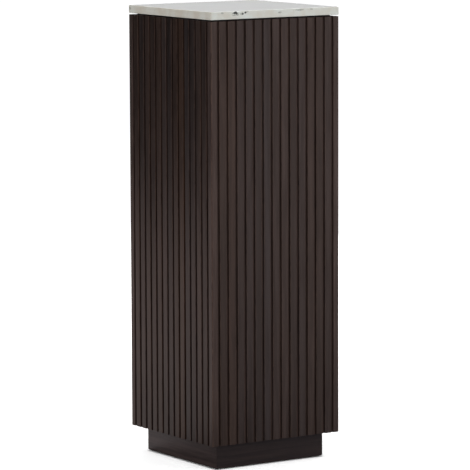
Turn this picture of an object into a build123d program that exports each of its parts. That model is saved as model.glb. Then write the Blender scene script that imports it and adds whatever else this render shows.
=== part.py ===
from build123d import *
import math
import os

os.makedirs("parts", exist_ok=True)

# Display plinth: a square column faced with vertical hardwood slats, on a set-back
# base, under a stone slab that stands on a thin spacer. Inside is a screwed panel
# carcass, and under the base are four screw levelling feet.
# Millimetres, +Z up. The origin is on the floor at the middle of the plan, with the
# feet wound fully in. Front is -Y, back is +Y, left is -X and right is +X.

# Overall
WIDTH = 305.0
HEIGHT = 914.0

# Stone slab, and the spacer that makes the shadow gap under it
STONE_THICKNESS = 16.0
STONE_ARRIS = 1.0
SPACER_THICKNESS = 3.0
SPACER_INSET = 13.0
DAB_RADIUS = 20.0
DAB_EDGE_DISTANCE = 55.0
WINDOW_CLEARANCE = 2.5

# Slatted facing
SLAT_WIDTH = 15.0
SLAT_THICKNESS = 4.0
SLAT_GAP_NOMINAL = 6.0
SLAT_ARRIS = 0.8
POST_FACE_WIDTH = 12.9
POST_ARRIS = 2.0

# Carcass
PANEL_THICKNESS = 12.0
TOP_DECK_THICKNESS = 15.0
BOTTOM_DECK_THICKNESS = 18.0
DIAPHRAGM_THICKNESS = 12.0
BATTEN_WIDTH = 18.0
NOTCH_CLEARANCE = 0.5

# Base
BASE_HEIGHT = 50.0
BASE_INSET = 24.0
BASE_BOARD_THICKNESS = 15.0
BASE_ARRIS = 1.0
BLOCK_WIDTH = 40.0
FLOOR_GAP = 2.0

# Levelling feet: an M8 screw that turns in a pad, in a threaded insert
THREAD_RADIUS = 4.0
THREAD_PITCH = 1.25
FOOT_TRAVEL = 10.0
STEM_END_CHAMFER = 0.8
HEX_ACROSS_FLATS = 13.0
HEX_HEIGHT = 3.7
STOP_GAP = 0.3
RUNNING_CLEARANCE = 0.05
BORE_CLEARANCE = 0.5
BORE_COVER = 5.5
PAD_RADIUS = 13.0
PAD_HEIGHT = 7.0
PAD_EDGE_RADIUS = 1.2
SOLE_RADIUS = 11.0
SOLE_THICKNESS = 2.5
SOLE_STAND_OUT = 1.5
SOLE_CLEARANCE = 0.1
PIN_RADIUS = 3.0
PIN_LENGTH = 4.6
PIN_END_GAP = 0.3
BEAD_HEIGHT = 0.5
BEAD_CENTRE_DEPTH = 3.4
BEAD_HALF_LENGTH = 0.6
INSERT_RADIUS = 6.0
INSERT_LENGTH = 15.0
INSERT_FLANGE_RADIUS = 7.5
INSERT_FLANGE_THICKNESS = 1.0

# Countersunk wood screws. A bite is the length of screw in the piece that it holds to.
SHANK_RADIUS = 2.0
HEAD_RADIUS = 4.0
HEAD_RIM = 0.4
SMALL_SHANK_RADIUS = 1.5
SMALL_HEAD_RADIUS = 2.8
DRIVE_RECESS_RADIUS = 1.3
DRIVE_RECESS_DEPTH = 1.2
SCREW_FIT = 0.02
SCREW_CLEARANCE = 0.25
PILOT_EXTRA_DEPTH = 1.0
DECK_SCREW_BITE = 23.0
DECK_SCREW_END_DISTANCE = 60.0
BATTEN_SCREW_BITE = 13.0
BATTEN_SCREW_END_DISTANCE = 55.0
BATTEN_SCREW_SPACING = 250.0
BATTEN_SCREW_STAGGER = 25.0
SPACER_SCREW_BITE = 11.0
SPACER_SCREW_END_DISTANCE = 87.0
SPACER_SCREW_EDGE_DISTANCE = 15.0
BLOCK_SCREW_BITE = 10.5
BLOCK_SCREW_OFFSET = 13.0
BOARD_SCREW_BITE = 10.0
BOARD_SCREW_OFFSET = 14.0
BOARD_SCREW_LOW = 11.5
BOARD_SCREW_HIGH = 25.5

# Levels, from the floor up
base_bottom = FLOOR_GAP
base_top = base_bottom + BASE_HEIGHT
shaft_bottom = base_top
shaft_top = HEIGHT - STONE_THICKNESS - SPACER_THICKNESS
shaft_height = shaft_top - shaft_bottom
spacer_top = shaft_top + SPACER_THICKNESS
bottom_deck_top = shaft_bottom + BOTTOM_DECK_THICKNESS
top_deck_bottom = shaft_top - TOP_DECK_THICKNESS
diaphragm_centre = (bottom_deck_top + top_deck_bottom) / 2
pad_bottom = SOLE_STAND_OUT
pad_top = pad_bottom + PAD_HEIGHT
hex_top = pad_top + HEX_HEIGHT
block_bottom = hex_top + STOP_GAP
block_height = shaft_bottom - block_bottom
bore_top = shaft_bottom - BORE_COVER
stem_top = bore_top - BORE_CLEARANCE

# Half widths, from the middle of the plan outwards
half_width = WIDTH / 2
carcass_half = half_width - SLAT_THICKNESS
inner_half = carcass_half - PANEL_THICKNESS
spacer_half = half_width - SPACER_INSET
base_half = half_width - BASE_INSET
base_inner_half = base_half - BASE_BOARD_THICKNESS
block_centre = base_inner_half - BLOCK_WIDTH / 2
foot_offset = block_centre

# Slat layout: as many slats as the width between the posts takes at about the nominal
# gap, with the same gap between them and beside the posts
slat_field = WIDTH - 2 * POST_FACE_WIDTH
slat_count = round((slat_field - SLAT_GAP_NOMINAL) / (SLAT_WIDTH + SLAT_GAP_NOMINAL))
slat_gap = (slat_field - slat_count * SLAT_WIDTH) / (slat_count + 1)
slat_pitch = SLAT_WIDTH + slat_gap
slat_centres = [(i - (slat_count - 1) / 2) * slat_pitch for i in range(slat_count)]

SIDES = {"front": 0, "right": 90, "back": 180, "left": 270}
CORNERS = {"front_left": 0, "front_right": 90, "back_right": 180, "back_left": 270}

nodes = {}


def box_between(x_range, y_range, z_range):
    """Plain block between two corners."""
    low = (x_range[0], y_range[0], z_range[0])
    size = (x_range[1] - x_range[0], y_range[1] - y_range[0], z_range[1] - z_range[0])
    corner_at_origin = (Align.MIN, Align.MIN, Align.MIN)
    return Pos(*low) * Box(*size, align=corner_at_origin)


def turned(piece, angle):
    """Piece carried round the plinth's upright axis."""
    return Rot(0, 0, angle) * piece


def revolved(points):
    """Solid of revolution about +Z from (radius, height) points."""
    profile = Plane.XZ * make_face(Polyline(*points, close=True))
    return revolve(profile, Axis.Z)


def upright(radius, bottom, top):
    """Round bar on +Z between two levels."""
    standing = (Align.CENTER, Align.CENTER, Align.MIN)
    return Pos(0, 0, bottom) * Cylinder(radius, top - bottom, align=standing)


def screw(length, shank=SHANK_RADIUS, head=HEAD_RADIUS):
    """Countersunk screw: head face at the origin, pointing along +Z."""
    head_depth = HEAD_RIM + head - shank
    tip_length = 2 * shank
    body = revolved([
        (0, 0),
        (head, 0),
        (head, HEAD_RIM),
        (shank, head_depth),
        (shank, length - tip_length),
        (0, length),
    ])
    recess = extrude(RegularPolygon(DRIVE_RECESS_RADIUS, 6), DRIVE_RECESS_DEPTH)
    return body - recess


def countersunk_hole(depth, shank=SHANK_RADIUS, head=HEAD_RADIUS):
    """Clearance hole with its countersink, mouth at the origin, along +Z."""
    outer = head + SCREW_FIT
    bore = shank + SCREW_CLEARANCE
    rim = HEAD_RIM + SCREW_FIT
    return revolved([
        (0, 0),
        (outer, 0),
        (outer, rim),
        (bore, rim + outer - bore),
        (bore, depth),
        (0, depth),
    ])


def pilot_hole(start, bite, shank=SHANK_RADIUS):
    """Hole for the screw's thread, in the piece that the screw holds to."""
    return upright(shank + SCREW_FIT, start, start + bite + PILOT_EXTRA_DEPTH)


def spread(first, last, largest_step):
    """Evenly spaced values from first to last, no further apart than largest_step."""
    steps = math.ceil((last - first) / largest_step)
    return [first + (last - first) * i / steps for i in range(steps + 1)]


# Screw places, as a location whose +Z is the way the screw points. The horizontal
# ones are given for the front side, and the others are turned round to their sides.
# The deck screws stand behind the middle of a slat, which hides their heads.

into_front = Rot(-90, 0, 0)
deck_levels = [
    shaft_bottom + BOTTOM_DECK_THICKNESS / 2,
    diaphragm_centre,
    shaft_top - TOP_DECK_THICKNESS / 2,
]
wanted_deck_screw_x = inner_half - DECK_SCREW_END_DISTANCE
deck_screw_x = min(slat_centres, key=lambda x: abs(x - wanted_deck_screw_x))
deck_screw_places = [
    Pos(x, -carcass_half, z) * into_front
    for z in deck_levels
    for x in (-deck_screw_x, deck_screw_x)
]

batten_centre = inner_half - BATTEN_WIDTH / 2
batten_screw_levels = spread(
    bottom_deck_top + BATTEN_SCREW_END_DISTANCE,
    top_deck_bottom - BATTEN_SCREW_END_DISTANCE - BATTEN_SCREW_STAGGER,
    BATTEN_SCREW_SPACING,
)
low_batten_screw_places = [
    Pos(x, -carcass_half, z) * into_front
    for z in batten_screw_levels
    for x in (-batten_centre, batten_centre)
]
high_batten_screw_places = [
    Pos(0, 0, BATTEN_SCREW_STAGGER) * place for place in low_batten_screw_places
]
batten_screw_places = {
    "front": low_batten_screw_places,
    "right": high_batten_screw_places,
    "back": low_batten_screw_places,
    "left": high_batten_screw_places,
}

spacer_screw_x = inner_half - SPACER_SCREW_END_DISTANCE
spacer_screw_y = -inner_half + SPACER_SCREW_EDGE_DISTANCE
spacer_screw_places = [
    turned(Pos(x, spacer_screw_y, spacer_top) * Rot(180, 0, 0), angle)
    for angle in SIDES.values()
    for x in (-spacer_screw_x, spacer_screw_x)
]

# Places in the front left base block, measured from the block's centre line. The
# outer faces of that block look towards -X and -Y.
block_screw_places = [
    Pos(-block_centre - BLOCK_SCREW_OFFSET, -block_centre, block_bottom),
    Pos(-block_centre, -block_centre - BLOCK_SCREW_OFFSET, block_bottom),
]
block_inner_face = -block_centre + BLOCK_WIDTH / 2
board_screw_row = -block_centre + BOARD_SCREW_OFFSET
front_board_screw_place = (
    Pos(board_screw_row, block_inner_face, block_bottom + BOARD_SCREW_HIGH) * Rot(90, 0, 0)
)
left_board_screw_place = (
    Pos(block_inner_face, board_screw_row, block_bottom + BOARD_SCREW_LOW) * Rot(0, -90, 0)
)

# Stone slab: one sawn and honed piece with eased edges
stone = box_between(
    (-half_width, half_width), (-half_width, half_width), (spacer_top, HEIGHT)
)
nodes["stone_top"] = fillet(stone.edges(), STONE_ARRIS)

# Spacer: thin black board, with round windows for the adhesive that holds the stone
dab_offset = spacer_half - DAB_EDGE_DISTANCE
dab_places = [
    Pos(x, y, 0)
    for x, y in [(0, 0)] + [(i * dab_offset, j * dab_offset) for i in (-1, 1) for j in (-1, 1)]
]
spacer = box_between(
    (-spacer_half, spacer_half), (-spacer_half, spacer_half), (shaft_top, spacer_top)
)
window = upright(DAB_RADIUS + WINDOW_CLEARANCE, shaft_top, spacer_top)
spacer_hole = countersunk_hole(SPACER_THICKNESS, SMALL_SHANK_RADIUS, SMALL_HEAD_RADIUS)
nodes["shadow_gap_spacer"] = (
    spacer
    - [place * window for place in dab_places]
    - [place * spacer_hole for place in spacer_screw_places]
)
dab = upright(DAB_RADIUS, shaft_top, spacer_top)
nodes["adhesive_dabs"] = Compound([place * dab for place in dab_places])
spacer_screw_length = SPACER_THICKNESS + SPACER_SCREW_BITE
spacer_screw = screw(spacer_screw_length, SMALL_SHANK_RADIUS, SMALL_HEAD_RADIUS)
nodes["spacer_screws"] = Compound([place * spacer_screw for place in spacer_screw_places])

# Decks: boards between the four panels, screwed through the panels into their edges
deck_pilot = pilot_hole(PANEL_THICKNESS, DECK_SCREW_BITE)
deck_pilots = [
    turned(place * deck_pilot, angle)
    for angle in SIDES.values()
    for place in deck_screw_places
]
inner_plan = (-inner_half, inner_half)
spacer_pilot = pilot_hole(SPACER_THICKNESS, SPACER_SCREW_BITE, SMALL_SHANK_RADIUS)
top_deck = box_between(inner_plan, inner_plan, (top_deck_bottom, shaft_top))
nodes["top_deck"] = (
    top_deck - deck_pilots - [place * spacer_pilot for place in spacer_screw_places]
)

block_pilot = pilot_hole(block_height, BLOCK_SCREW_BITE)
bottom_deck = box_between(inner_plan, inner_plan, (shaft_bottom, bottom_deck_top))
nodes["bottom_deck"] = (
    bottom_deck
    - deck_pilots
    - [
        turned(place * block_pilot, angle)
        for angle in CORNERS.values()
        for place in block_screw_places
    ]
)

# Diaphragm: stiffening board at mid height, notched round the corner battens
diaphragm_bottom = diaphragm_centre - DIAPHRAGM_THICKNESS / 2
diaphragm_top = diaphragm_centre + DIAPHRAGM_THICKNESS / 2
diaphragm = box_between(inner_plan, inner_plan, (diaphragm_bottom, diaphragm_top))
notch_range = (-inner_half, -inner_half + BATTEN_WIDTH + NOTCH_CLEARANCE)
notch = box_between(notch_range, notch_range, (diaphragm_bottom, diaphragm_top))
nodes["mid_diaphragm"] = (
    diaphragm - [turned(notch, angle) for angle in CORNERS.values()] - deck_pilots
)

# Corner battens: square softwood, glued and screwed into the carcass corners
batten_pilot = pilot_hole(PANEL_THICKNESS, BATTEN_SCREW_BITE)
batten_pilots = [
    turned(place * batten_pilot, SIDES[side])
    for side, places in batten_screw_places.items()
    for place in places
]
batten_range = (-inner_half, -inner_half + BATTEN_WIDTH)
batten = box_between(batten_range, batten_range, (bottom_deck_top, top_deck_bottom))
for corner, angle in CORNERS.items():
    nodes["corner_batten_" + corner] = turned(batten, angle) - batten_pilots

# Carcass panels: the front and back run full width, and the sides fit between them
panel_hole = countersunk_hole(PANEL_THICKNESS)
for side, angle in SIDES.items():
    panel_half = carcass_half if side in ("front", "back") else inner_half
    panel = box_between(
        (-panel_half, panel_half), (-carcass_half, -inner_half), (shaft_bottom, shaft_top)
    )
    places = deck_screw_places + batten_screw_places[side]
    nodes["carcass_panel_" + side] = turned(
        panel - [place * panel_hole for place in places], angle
    )

deck_screw = screw(PANEL_THICKNESS + DECK_SCREW_BITE)
nodes["deck_screws"] = Compound([
    turned(place * deck_screw, angle)
    for angle in SIDES.values()
    for place in deck_screw_places
])
batten_screw = screw(PANEL_THICKNESS + BATTEN_SCREW_BITE)
nodes["batten_screws"] = Compound([
    turned(place * batten_screw, SIDES[side])
    for side, places in batten_screw_places.items()
    for place in places
])

# Slats: separate strips glued side by side on each panel, between the corner posts
slat = box_between(
    (-SLAT_WIDTH / 2, SLAT_WIDTH / 2), (-half_width, -carcass_half), (shaft_bottom, shaft_top)
)
slat_outer_edges = slat.faces().sort_by(Axis.Y)[0].edges().filter_by(Axis.Z)
slat = fillet(slat_outer_edges, SLAT_ARRIS)
slat_row = [Pos(x, 0, 0) * slat for x in slat_centres]
for side, angle in SIDES.items():
    nodes["slats_" + side] = Compound([turned(strip, angle) for strip in slat_row])

# Corner posts: rebated over the carcass corner, so both faces show solid wood
post_range = (-half_width, -half_width + POST_FACE_WIDTH)
rebate_range = (-carcass_half, -half_width + POST_FACE_WIDTH)
post_levels = (shaft_bottom, shaft_top)
post = box_between(post_range, post_range, post_levels)
post -= box_between(rebate_range, rebate_range, post_levels)
post_uprights = post.edges().filter_by(Axis.Z)
post = fillet(post_uprights.sort_by(Axis((0, 0, 0), (1, 1, 0)))[0], POST_ARRIS)
front_end = post.faces().sort_by(Axis.Y)[0].edges().filter_by(Axis.Z).sort_by(Axis.X)[-1]
left_end = post.faces().sort_by(Axis.X)[0].edges().filter_by(Axis.Z).sort_by(Axis.Y)[-1]
post = fillet([front_end, left_end], SLAT_ARRIS)
for corner, angle in CORNERS.items():
    nodes["corner_post_" + corner] = turned(post, angle)

# Base boards: mitred at the corners, eased along the bottom outer edge
board_plan = Polyline(
    (-base_half, -base_half),
    (base_half, -base_half),
    (base_inner_half, -base_inner_half),
    (-base_inner_half, -base_inner_half),
    close=True,
)
board = Pos(0, 0, base_bottom) * extrude(make_face(board_plan), BASE_HEIGHT)
board_low_edge = board.edges().filter_by(Axis.X).sort_by(Axis.Z)[:2].sort_by(Axis.Y)[0]
board = chamfer(board_low_edge, BASE_ARRIS)
board_pilot = pilot_hole(BLOCK_WIDTH, BOARD_SCREW_BITE)
board_pilots = [
    turned(place * board_pilot, angle)
    for angle in CORNERS.values()
    for place in (front_board_screw_place, left_board_screw_place)
]
for side, angle in SIDES.items():
    nodes["base_board_" + side] = turned(board, angle) - board_pilots

# Base blocks: glued and screwed into the base corners, each with a foot's insert
block_x = (-base_inner_half, -base_inner_half + BLOCK_WIDTH)
block = box_between(block_x, block_x, (block_bottom, shaft_bottom))
insert_top = block_bottom + INSERT_LENGTH
flange_top = block_bottom + INSERT_FLANGE_THICKNESS
foot_place = Pos(-foot_offset, -foot_offset, 0)
foot_bore = upright(THREAD_RADIUS + BORE_CLEARANCE, block_bottom, bore_top)
insert_pocket = upright(INSERT_RADIUS, block_bottom, insert_top)
flange_pocket = upright(INSERT_FLANGE_RADIUS, block_bottom, flange_top)
block_hole = countersunk_hole(block_height)
board_hole = countersunk_hole(BLOCK_WIDTH)
block -= [
    foot_place * foot_bore,
    foot_place * insert_pocket,
    foot_place * flange_pocket,
    front_board_screw_place * board_hole,
    left_board_screw_place * board_hole,
]
block -= [place * block_hole for place in block_screw_places]
for corner, angle in CORNERS.items():
    nodes["base_block_" + corner] = turned(block, angle)

block_screw = screw(block_height + BLOCK_SCREW_BITE)
nodes["block_screws"] = Compound([
    turned(place * block_screw, angle)
    for angle in CORNERS.values()
    for place in block_screw_places
])
board_screw = screw(BLOCK_WIDTH + BOARD_SCREW_BITE)
nodes["board_screws"] = Compound([
    turned(place * board_screw, angle)
    for angle in CORNERS.values()
    for place in (front_board_screw_place, left_board_screw_place)
])

# Threaded inserts: flanged steel sleeves pressed into the blocks from below
insert = upright(INSERT_RADIUS, block_bottom, insert_top)
insert += upright(INSERT_FLANGE_RADIUS, block_bottom, flange_top)
insert -= upright(THREAD_RADIUS + RUNNING_CLEARANCE, block_bottom, insert_top)
nodes["leveler_inserts"] = Compound([
    turned(foot_place * insert, angle) for angle in CORNERS.values()
])


def pin_outline(radius, depth, bead, growth):
    """Half outline of the foot's snap-in pin, or of the socket that it turns in."""
    bead_centre = pad_top - BEAD_CENTRE_DEPTH
    bead_half = BEAD_HALF_LENGTH + growth
    return [
        (0, pad_top),
        (radius, pad_top),
        (radius, bead_centre + bead_half),
        (radius + bead, bead_centre),
        (radius, bead_centre - bead_half),
        (radius, pad_top - depth),
        (0, pad_top - depth),
    ]


# Foot screw: threaded rod, hexagon for a spanner, and a pin that turns in the pad
rod = chamfer(
    upright(THREAD_RADIUS, hex_top, stem_top).faces().sort_by(Axis.Z)[-1].edges(),
    STEM_END_CHAMFER,
)
hexagon = RegularPolygon(HEX_ACROSS_FLATS / 2, 6, major_radius=False)
stem = (
    rod
    + Pos(0, 0, pad_top) * extrude(hexagon, HEX_HEIGHT)
    + revolved(pin_outline(PIN_RADIUS, PIN_LENGTH, BEAD_HEIGHT, 0))
)

# Pad: moulded disc with a socket above for the pin and a recess below for the sole
socket = revolved(
    pin_outline(
        PIN_RADIUS + RUNNING_CLEARANCE,
        PIN_LENGTH + PIN_END_GAP,
        BEAD_HEIGHT,
        RUNNING_CLEARANCE,
    )
)
pad = upright(PAD_RADIUS, pad_bottom, pad_top)
pad = fillet(pad.faces().sort_by(Axis.Z)[-1].edges(), PAD_EDGE_RADIUS)
pad -= socket
pad -= upright(SOLE_RADIUS + SOLE_CLEARANCE, pad_bottom, SOLE_THICKNESS)

# Sole: rubber disc held in the pad's recess, the only piece that meets the floor
sole = upright(SOLE_RADIUS, 0, SOLE_THICKNESS)

for corner, angle in CORNERS.items():
    nodes["leveler_stem_" + corner] = turned(foot_place * stem, angle)
    nodes["leveler_pad_" + corner] = turned(foot_place * pad, angle)
    nodes["leveler_sole_" + corner] = turned(foot_place * sole, angle)

for name, solid in nodes.items():
    export_step(solid, os.path.join("parts", name + ".step"))

foot_turns = FOOT_TRAVEL / THREAD_PITCH
engaged_length = stem_top - FOOT_TRAVEL - insert_top
print("nodes", len(nodes))
print("slats per side", slat_count, "gap", round(slat_gap, 3), "pitch", round(slat_pitch, 3))
print("foot centre", foot_offset, "turns", foot_turns, "rod above insert", engaged_length)
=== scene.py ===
import math
import random

import bpy
from mathutils import Matrix, Vector


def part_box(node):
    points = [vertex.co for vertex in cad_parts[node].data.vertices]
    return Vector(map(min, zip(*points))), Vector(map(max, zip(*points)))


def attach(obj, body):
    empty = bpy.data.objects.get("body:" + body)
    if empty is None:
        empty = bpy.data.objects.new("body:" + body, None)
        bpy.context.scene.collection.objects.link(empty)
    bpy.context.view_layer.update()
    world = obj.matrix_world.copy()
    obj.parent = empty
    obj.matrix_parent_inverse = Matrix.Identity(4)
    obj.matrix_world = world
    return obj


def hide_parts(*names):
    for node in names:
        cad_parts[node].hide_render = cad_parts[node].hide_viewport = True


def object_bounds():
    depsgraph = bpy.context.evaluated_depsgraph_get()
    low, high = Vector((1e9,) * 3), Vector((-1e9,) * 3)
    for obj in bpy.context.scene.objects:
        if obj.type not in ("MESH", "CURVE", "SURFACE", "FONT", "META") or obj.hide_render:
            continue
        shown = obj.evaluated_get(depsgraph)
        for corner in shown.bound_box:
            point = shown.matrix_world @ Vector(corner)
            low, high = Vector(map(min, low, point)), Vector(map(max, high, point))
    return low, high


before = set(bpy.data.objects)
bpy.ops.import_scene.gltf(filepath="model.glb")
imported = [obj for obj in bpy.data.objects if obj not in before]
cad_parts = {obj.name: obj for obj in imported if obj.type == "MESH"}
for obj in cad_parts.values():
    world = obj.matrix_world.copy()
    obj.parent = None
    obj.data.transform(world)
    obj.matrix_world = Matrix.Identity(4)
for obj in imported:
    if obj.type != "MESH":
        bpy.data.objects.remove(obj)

cad_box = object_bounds()

# Carcass panels. Four fibreboards, veneered with the same timber as the slats, make the
# column's box. The veneer shows in the grooves between the slats, so it is stained and
# lacquered with them, and so are the ends. Its stain is set over twice as light as the
# slats', which is painted light on the shaded floors of the grooves. The inside is left raw.

SIDE_TURNS = {"front": 0, "right": 90, "back": 180, "left": 270}
CORNER_TURNS = {"front_left": 0, "front_right": 90, "back_right": 180, "back_left": 270}


def new_finish(name, roughness, **sockets):
    """A finish with its shader, and the numbers that are the same all over it."""
    finish = bpy.data.materials.new(name)
    finish.use_nodes = True
    shader = finish.node_tree.nodes["Principled BSDF"]
    shader.inputs["Roughness"].default_value = roughness
    for socket, value in sockets.items():
        shader.inputs[socket.replace("_", " ")].default_value = value
    return finish, finish.node_tree, shader


def add(tree, kind, inputs=None, **settings):
    """One node, with its settings, its numbers and what feeds it."""
    made = tree.nodes.new("ShaderNode" + kind)
    for name, value in settings.items():
        setattr(made, name, value)
    for socket, value in (inputs or {}).items():
        if isinstance(value, bpy.types.NodeSocket):
            tree.links.new(value, made.inputs[socket])
        else:
            made.inputs[socket].default_value = value
    return made


def maths(tree, operation, *values):
    """Arithmetic on numbers or node outputs."""
    made = add(tree, "Math", dict(enumerate(values)), operation=operation)
    return made.outputs[0]


def between(tree, factor, low, high):
    """A value that runs from low to high as the factor runs from 0 to 1."""
    inputs = {"Value": factor, "To Min": low, "To Max": high}
    return add(tree, "MapRange", inputs).outputs[0]


def step_at(tree, value, edge, soft):
    """0 below the edge and 1 above it, softened over a width."""
    inputs = {"Value": value, "From Min": edge - soft, "From Max": edge + soft}
    return add(tree, "MapRange", inputs, interpolation_type="SMOOTHSTEP").outputs[0]


def blend_colours(tree, factor, first, second, blend_type="MIX"):
    """Two colours mixed by a factor."""
    made = add(tree, "Mix", {"Factor": factor}, data_type="RGBA", blend_type=blend_type)
    for socket, value in ((made.inputs[6], first), (made.inputs[7], second)):
        if isinstance(value, bpy.types.NodeSocket):
            tree.links.new(value, socket)
        else:
            socket.default_value = (*value, 1)
    return made.outputs[2]


def noise(tree, where, scale, detail=3.0, roughness=0.55, distortion=0.0):
    """Cloudy noise, as many lumps to the metre as the scale says."""
    inputs = {
        "Vector": where, "Scale": scale, "Detail": detail,
        "Roughness": roughness, "Distortion": distortion,
    }
    return add(tree, "TexNoise", inputs).outputs["Fac"]


def stretched(tree, where, across, along):
    """Coordinates scaled so that a pattern runs long in their third direction."""
    inputs = {"Vector": where, "Scale": (across, across, along)}
    return add(tree, "Mapping", inputs).outputs[0]


def bump(tree, height, depth, under=None):
    """A surface normal from a height between 0 and 1, as deep as the depth in metres."""
    inputs = {"Height": height, "Distance": depth, "Strength": 1.0}
    if under is not None:
        inputs["Normal"] = under
    return add(tree, "Bump", inputs).outputs[0]


def wire(tree, shader, **sockets):
    """What feeds the shader's sockets."""
    for socket, value in sockets.items():
        tree.links.new(value, shader.inputs[socket.replace("_", " ")])


def dress(finish, *names):
    """The finish put on pieces that keep their own shape."""
    for name in names:
        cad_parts[name].material_slots[0].material = finish


FIBRE_RELIEF = 0.00006
FIBRE_DARKEST = 0.62
FIBRE_LIGHTEST = 1.25
RAW_ROUGHNESS = 0.74


def fibreboard(tree, where, raw):
    """Pressed wood fibre, left raw: its colour and surface normal."""
    fibres = noise(tree, where, scale=2600, detail=5.0, roughness=0.7)
    clumps = noise(tree, where, scale=240, detail=4.0, roughness=0.6)
    fleck = maths(tree, "MULTIPLY", fibres, clumps)
    darker = tuple(FIBRE_DARKEST * c for c in raw)
    lighter = tuple(FIBRE_LIGHTEST * c for c in raw)
    colour = blend_colours(tree, between(tree, fleck, low=-0.4, high=1.9), darker, lighter)
    return colour, bump(tree, fibres, depth=FIBRE_RELIEF)


STAIN_IN_FIGURE = (0.0082, 0.0052, 0.0049)
STAIN_BETWEEN = (0.0330, 0.0226, 0.0204)
STAIN_COOL = (0.94, 1.0, 1.02)
STAIN_WARM = (1.08, 0.98, 0.95)
OPEN_PORE = (0.005, 0.003, 0.003)
# The rubbed edge colour is partly real wear and partly a painted highlight along the rounded edges.
RUBBED_EDGE_AND_HIGHLIGHT = (0.080, 0.050, 0.038)
RUB_AND_HIGHLIGHT_STRENGTH = 0.7
PORE_STRENGTH = 0.35
STREAK_SHARE = 0.45
FIGURE_RELIEF = 0.00004
PORE_RELIEF = 0.00005
STREAK_RELIEF = 0.00005
LACQUER_ROUGHNESS = 0.36
STREAK_ROUGHNESS = 0.16
RUB_POLISH = 0.06


def stained_grain(tree, grain, tone, arris):
    """Open-grained hardwood under a dark stain and a satin lacquer, rubbed at the edges, where
    the lighter colour is also a painted highlight: its colour, roughness and surface normal."""
    along_streak = stretched(tree, grain, across=1.0, along=0.022)
    streaks = noise(tree, along_streak, scale=820, detail=4.0, roughness=0.6)
    along_figure = stretched(tree, grain, across=1.0, along=0.045)
    figure = noise(tree, along_figure, scale=115, detail=3.0, roughness=0.5, distortion=0.6)
    along_pore = stretched(tree, grain, across=1.0, along=0.05)
    pores = noise(tree, along_pore, scale=3600, detail=2.0)
    clouds = noise(tree, grain, scale=9.0, detail=2.0)
    lie = maths(tree, "MULTIPLY", figure, 1 - STREAK_SHARE)
    lie = maths(tree, "MULTIPLY_ADD", streaks, STREAK_SHARE, lie)
    depth = step_at(tree, lie, edge=0.5, soft=0.17)
    colour = blend_colours(tree, depth, STAIN_IN_FIGURE, STAIN_BETWEEN)
    cloud_cast = blend_colours(tree, clouds, STAIN_COOL, STAIN_WARM)
    colour = blend_colours(tree, 1.0, colour, cloud_cast, "MULTIPLY")
    colour = blend_colours(tree, 1.0, colour, tone, "MULTIPLY")
    off_pore = step_at(tree, pores, edge=0.35, soft=0.06)
    pore_share = between(tree, off_pore, low=PORE_STRENGTH, high=0.0)
    colour = blend_colours(tree, pore_share, colour, OPEN_PORE)
    handled_and_highlit_patches = step_at(tree, noise(tree, grain, scale=60, detail=4.0), edge=0.47, soft=0.12)
    # Lighter colour on the rounded edges and ends: partly rubbing, partly a painted highlight.
    rub_and_highlight = maths(tree, "MULTIPLY", arris, handled_and_highlit_patches)
    rub_and_highlight_share = maths(tree, "MULTIPLY", rub_and_highlight, RUB_AND_HIGHLIGHT_STRENGTH)
    colour = blend_colours(tree, rub_and_highlight_share, colour, RUBBED_EDGE_AND_HIGHLIGHT)
    rough = maths(tree, "MULTIPLY_ADD", streaks, STREAK_ROUGHNESS, LACQUER_ROUGHNESS)
    rough = maths(tree, "MULTIPLY_ADD", rub_and_highlight, -RUB_POLISH, rough)
    relief = bump(tree, streaks, depth=STREAK_RELIEF)
    relief = bump(tree, off_pore, depth=PORE_RELIEF, under=relief)
    relief = bump(tree, figure, depth=FIGURE_RELIEF, under=relief)
    return colour, rough, relief


STAIN_SHEEN = (1.0, 0.74, 0.66, 1)
STAIN_DEPTH = 0.0008
# The facing's tone is painted light: over twice as light as the slats, so the shaded groove floors
# read as lit.
FACING_TONE_PAINTED_LIGHT = (2.0, 1.9, 1.8)
RAW_CARCASS = (0.36, 0.24, 0.14)
panel_low, panel_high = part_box("carcass_panel_front")
stained_board, tree, shader = new_finish("stained_board", 0.45, Specular_Tint=STAIN_SHEEN)
where = add(tree, "TexCoord").outputs["Object"]
place = add(tree, "SeparateXYZ", {"Vector": where})
raw_colour, raw_relief = fibreboard(tree, where, RAW_CARCASS)
stain_colour, stain_rough, stain_relief = stained_grain(tree, where, FACING_TONE_PAINTED_LIGHT, 0.0)
outwards = maths(
    tree, "MAXIMUM",
    maths(tree, "ABSOLUTE", place.outputs["X"]), maths(tree, "ABSOLUTE", place.outputs["Y"]),
)
coated = step_at(tree, outwards, edge=panel_high.x - STAIN_DEPTH, soft=STAIN_DEPTH / 4)
middle = (panel_low.z + panel_high.z) / 2
from_middle = maths(tree, "ABSOLUTE", maths(tree, "SUBTRACT", place.outputs["Z"], middle))
at_ends = step_at(tree, from_middle, edge=panel_high.z - middle - STAIN_DEPTH, soft=STAIN_DEPTH / 4)
coated = maths(tree, "MAXIMUM", coated, at_ends)
relief = add(tree, "Mix", {"Factor": coated}, data_type="VECTOR")
tree.links.new(raw_relief, relief.inputs[4])
tree.links.new(stain_relief, relief.inputs[5])
wire(
    tree, shader,
    Base_Color=blend_colours(tree, coated, raw_colour, stain_colour),
    Roughness=between(tree, coated, low=RAW_ROUGHNESS, high=stain_rough),
    Normal=relief.outputs[1],
)
dress(stained_board, *("carcass_panel_" + side for side in SIDE_TURNS))

# Decks and diaphragm. Three plain boards close the box at the top and bottom and
# stiffen it half way up. They are never seen, so they are raw fibreboard.

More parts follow.
